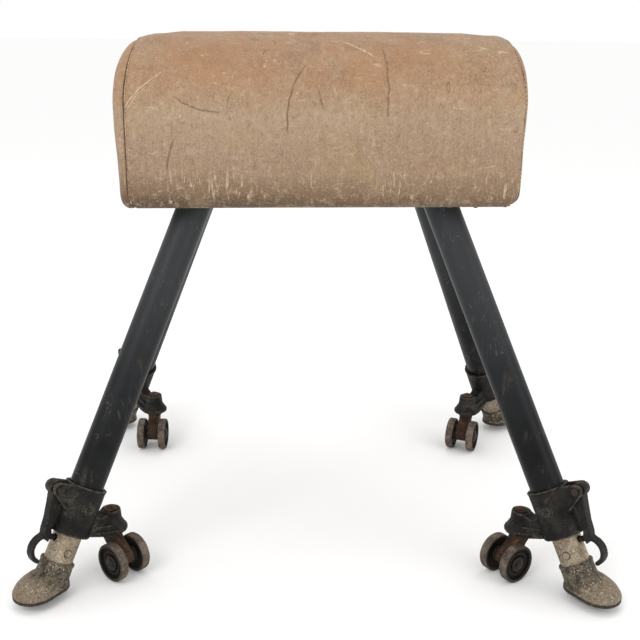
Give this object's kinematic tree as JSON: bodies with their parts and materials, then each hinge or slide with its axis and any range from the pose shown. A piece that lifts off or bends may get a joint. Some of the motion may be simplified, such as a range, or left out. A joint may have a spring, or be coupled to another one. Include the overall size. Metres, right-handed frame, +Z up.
{
  "type": "vaulting buck",
  "caption": "Padded leather vaulting buck on splayed telescopic legs with sprung latch levers, shoe-shaped feet and swivelling twin-wheel casters.",
  "frame": {"origin": "on the floor, under the middle of the whole buck; the wheels touch z = 0", "axes": "+X along the leather body, to the right as seen from the front; +Y from the front to the back; +Z up"},
  "size_m": [0.8678, 0.7144, 0.785],
  "materials": {
    "body_leather": "worn, waxed, scratched",
    "end_leather": "worn, with a stitched edge",
    "padding": "horsehair and felt filling",
    "board": "bare pine",
    "socket_iron": "black enamel",
    "fastener_steel": "dull, partly rusted",
    "tack_brass": "dull, darkened",
    "spring_steel": "oiled",
    "tube_paint": "glossy black enamel, worn",
    "collar_iron": "black enamel worn to brown on its edges",
    "lever_iron": "worn, edges polished by hands",
    "inner_tube_steel": "bare, pitted, dull",
    "foot_iron": "paint worn to rust on the toe",
    "sole_rubber": "matt",
    "fork_iron": "rusty",
    "wheel_rubber": "hard, worn, dusty"
  },
  "bodies": {
    "buck": {"leather_cover": "body_leather", "end_panel_left": "end_leather", "end_panel_right": "end_leather", "padding": "padding", "top_board": "board", "side_boards": "board", "end_boards": "board", "base_board": "board", "leg_sockets": "socket_iron", "socket_bolts": "fastener_steel", "upholstery_tacks": "tack_brass", "collar_set_screws": "fastener_steel", "lever_pins": "fastener_steel", "lever_springs": "spring_steel", "outer_tube_front_left": "tube_paint", "outer_tube_front_right": "tube_paint", "outer_tube_back_left": "tube_paint", "outer_tube_back_right": "tube_paint", "latch_collar_front_left": "collar_iron", "latch_collar_front_right": "collar_iron", "latch_collar_back_left": "collar_iron", "latch_collar_back_right": "collar_iron"},
    "leg_front_left": {"inner_tube_front_left": "inner_tube_steel", "foot_front_left": "foot_iron", "foot_sole_front_left": "sole_rubber", "foot_rivet_front_left": "fastener_steel"},
    "lever_front_left": {"latch_lever_front_left": "lever_iron"},
    "caster_front_left": {"caster_fork_front_left": "fork_iron", "caster_axle_front_left": "fastener_steel"},
    "wheel_a_front_left": {"caster_wheel_a_front_left": "wheel_rubber"},
    "wheel_b_front_left": {"caster_wheel_b_front_left": "wheel_rubber"},
    "leg_front_right": {"inner_tube_front_right": "inner_tube_steel", "foot_front_right": "foot_iron", "foot_sole_front_right": "sole_rubber", "foot_rivet_front_right": "fastener_steel"},
    "lever_front_right": {"latch_lever_front_right": "lever_iron"},
    "caster_front_right": {"caster_fork_front_right": "fork_iron", "caster_axle_front_right": "fastener_steel"},
    "wheel_a_front_right": {"caster_wheel_a_front_right": "wheel_rubber"},
    "wheel_b_front_right": {"caster_wheel_b_front_right": "wheel_rubber"},
    "leg_back_left": {"inner_tube_back_left": "inner_tube_steel", "foot_back_left": "foot_iron", "foot_sole_back_left": "sole_rubber", "foot_rivet_back_left": "fastener_steel"},
    "lever_back_left": {"latch_lever_back_left": "lever_iron"},
    "caster_back_left": {"caster_fork_back_left": "fork_iron", "caster_axle_back_left": "fastener_steel"},
    "wheel_a_back_left": {"caster_wheel_a_back_left": "wheel_rubber"},
    "wheel_b_back_left": {"caster_wheel_b_back_left": "wheel_rubber"},
    "leg_back_right": {"inner_tube_back_right": "inner_tube_steel", "foot_back_right": "foot_iron", "foot_sole_back_right": "sole_rubber", "foot_rivet_back_right": "fastener_steel"},
    "lever_back_right": {"latch_lever_back_right": "lever_iron"},
    "caster_back_right": {"caster_fork_back_right": "fork_iron", "caster_axle_back_right": "fastener_steel"},
    "wheel_a_back_right": {"caster_wheel_a_back_right": "wheel_rubber"},
    "wheel_b_back_right": {"caster_wheel_b_back_right": "wheel_rubber"}
  },
  "joints": [
    {"name": "leg_extension_front_left", "type": "slide", "parent": "buck", "child": "leg_front_left", "axis": [-0.3428, -0.3428, -0.8746], "range_m": [0, 0.4]},
    {"name": "latch_front_left", "type": "hinge", "parent": "buck", "child": "lever_front_left", "pos_m": [-0.37099, -0.29429, 0.16642], "axis": [-0.7071, 0.7071, 0], "range_deg": [0, 22], "stiffness_Nm_per_rad": 0.5, "springref_deg": -22.92},
    {"name": "caster_swivel_front_left", "type": "hinge", "parent": "buck", "child": "caster_front_left", "pos_m": [-0.30818, -0.23148, 0.06], "axis": [0, 0, 1], "continuous": true},
    {"name": "wheel_spin_a_front_left", "type": "hinge", "parent": "caster_front_left", "child": "wheel_a_front_left", "pos_m": [-0.27474, -0.23469, 0.029], "axis": [0.6691, 0.7431, 0], "continuous": true},
    {"name": "wheel_spin_b_front_left", "type": "hinge", "parent": "caster_front_left", "child": "wheel_b_front_left", "pos_m": [-0.3015, -0.26441, 0.029], "axis": [0.6691, 0.7431, 0], "continuous": true},
    {"name": "leg_extension_front_right", "type": "slide", "parent": "buck", "child": "leg_front_right", "axis": [0.3428, -0.3428, -0.8746], "range_m": [0, 0.4]},
    {"name": "latch_front_right", "type": "hinge", "parent": "buck", "child": "lever_front_right", "pos_m": [0.37099, -0.29429, 0.16642], "axis": [-0.7071, -0.7071, 0], "range_deg": [0, 22], "stiffness_Nm_per_rad": 0.5, "springref_deg": -22.92},
    {"name": "caster_swivel_front_right", "type": "hinge", "parent": "buck", "child": "caster_front_right", "pos_m": [0.30818, -0.23148, 0.06], "axis": [0, 0, 1], "continuous": true},
    {"name": "wheel_spin_a_front_right", "type": "hinge", "parent": "caster_front_right", "child": "wheel_a_front_right", "pos_m": [0.29698, -0.26316, 0.029], "axis": [0.5592, -0.829, 0], "continuous": true},
    {"name": "wheel_spin_b_front_right", "type": "hinge", "parent": "caster_front_right", "child": "wheel_b_front_right", "pos_m": [0.27461, -0.23, 0.029], "axis": [0.5592, -0.829, 0], "continuous": true},
    {"name": "leg_extension_back_left", "type": "slide", "parent": "buck", "child": "leg_back_left", "axis": [-0.3428, 0.3428, -0.8746], "range_m": [0, 0.4]},
    {"name": "latch_back_left", "type": "hinge", "parent": "buck", "child": "lever_back_left", "pos_m": [-0.37099, 0.29429, 0.16642], "axis": [0.7071, 0.7071, 0], "range_deg": [0, 22], "stiffness_Nm_per_rad": 0.5, "springref_deg": -22.92},
    {"name": "caster_swivel_back_left", "type": "hinge", "parent": "buck", "child": "caster_back_left", "pos_m": [-0.30818, 0.23148, 0.06], "axis": [0, 0, 1], "continuous": true},
    {"name": "wheel_spin_a_back_left", "type": "hinge", "parent": "caster_back_left", "child": "wheel_a_back_left", "pos_m": [-0.28914, 0.2038, 0.029], "axis": [0.9994, -0.0349, 0], "continuous": true},
    {"name": "wheel_spin_b_back_left", "type": "hinge", "parent": "caster_back_left", "child": "wheel_b_back_left", "pos_m": [-0.32911, 0.2052, 0.029], "axis": [0.9994, -0.0349, 0], "continuous": true},
    {"name": "leg_extension_back_right", "type": "slide", "parent": "buck", "child": "leg_back_right", "axis": [0.3428, 0.3428, -0.8746], "range_m": [0, 0.4]},
    {"name": "latch_back_right", "type": "hinge", "parent": "buck", "child": "lever_back_right", "pos_m": [0.37099, 0.29429, 0.16642], "axis": [0.7071, -0.7071, 0], "range_deg": [0, 22], "stiffness_Nm_per_rad": 0.5, "springref_deg": -22.92},
    {"name": "caster_swivel_back_right", "type": "hinge", "parent": "buck", "child": "caster_back_right", "pos_m": [0.30818, 0.23148, 0.06], "axis": [0, 0, 1], "continuous": true},
    {"name": "wheel_spin_a_back_right", "type": "hinge", "parent": "caster_back_right", "child": "wheel_a_back_right", "pos_m": [0.31547, 0.19868, 0.029], "axis": [0.9135, -0.4067, 0], "continuous": true},
    {"name": "wheel_spin_b_back_right", "type": "hinge", "parent": "caster_back_right", "child": "wheel_b_back_right", "pos_m": [0.27893, 0.21495, 0.029], "axis": [0.9135, -0.4067, 0], "continuous": true}
  ]
}
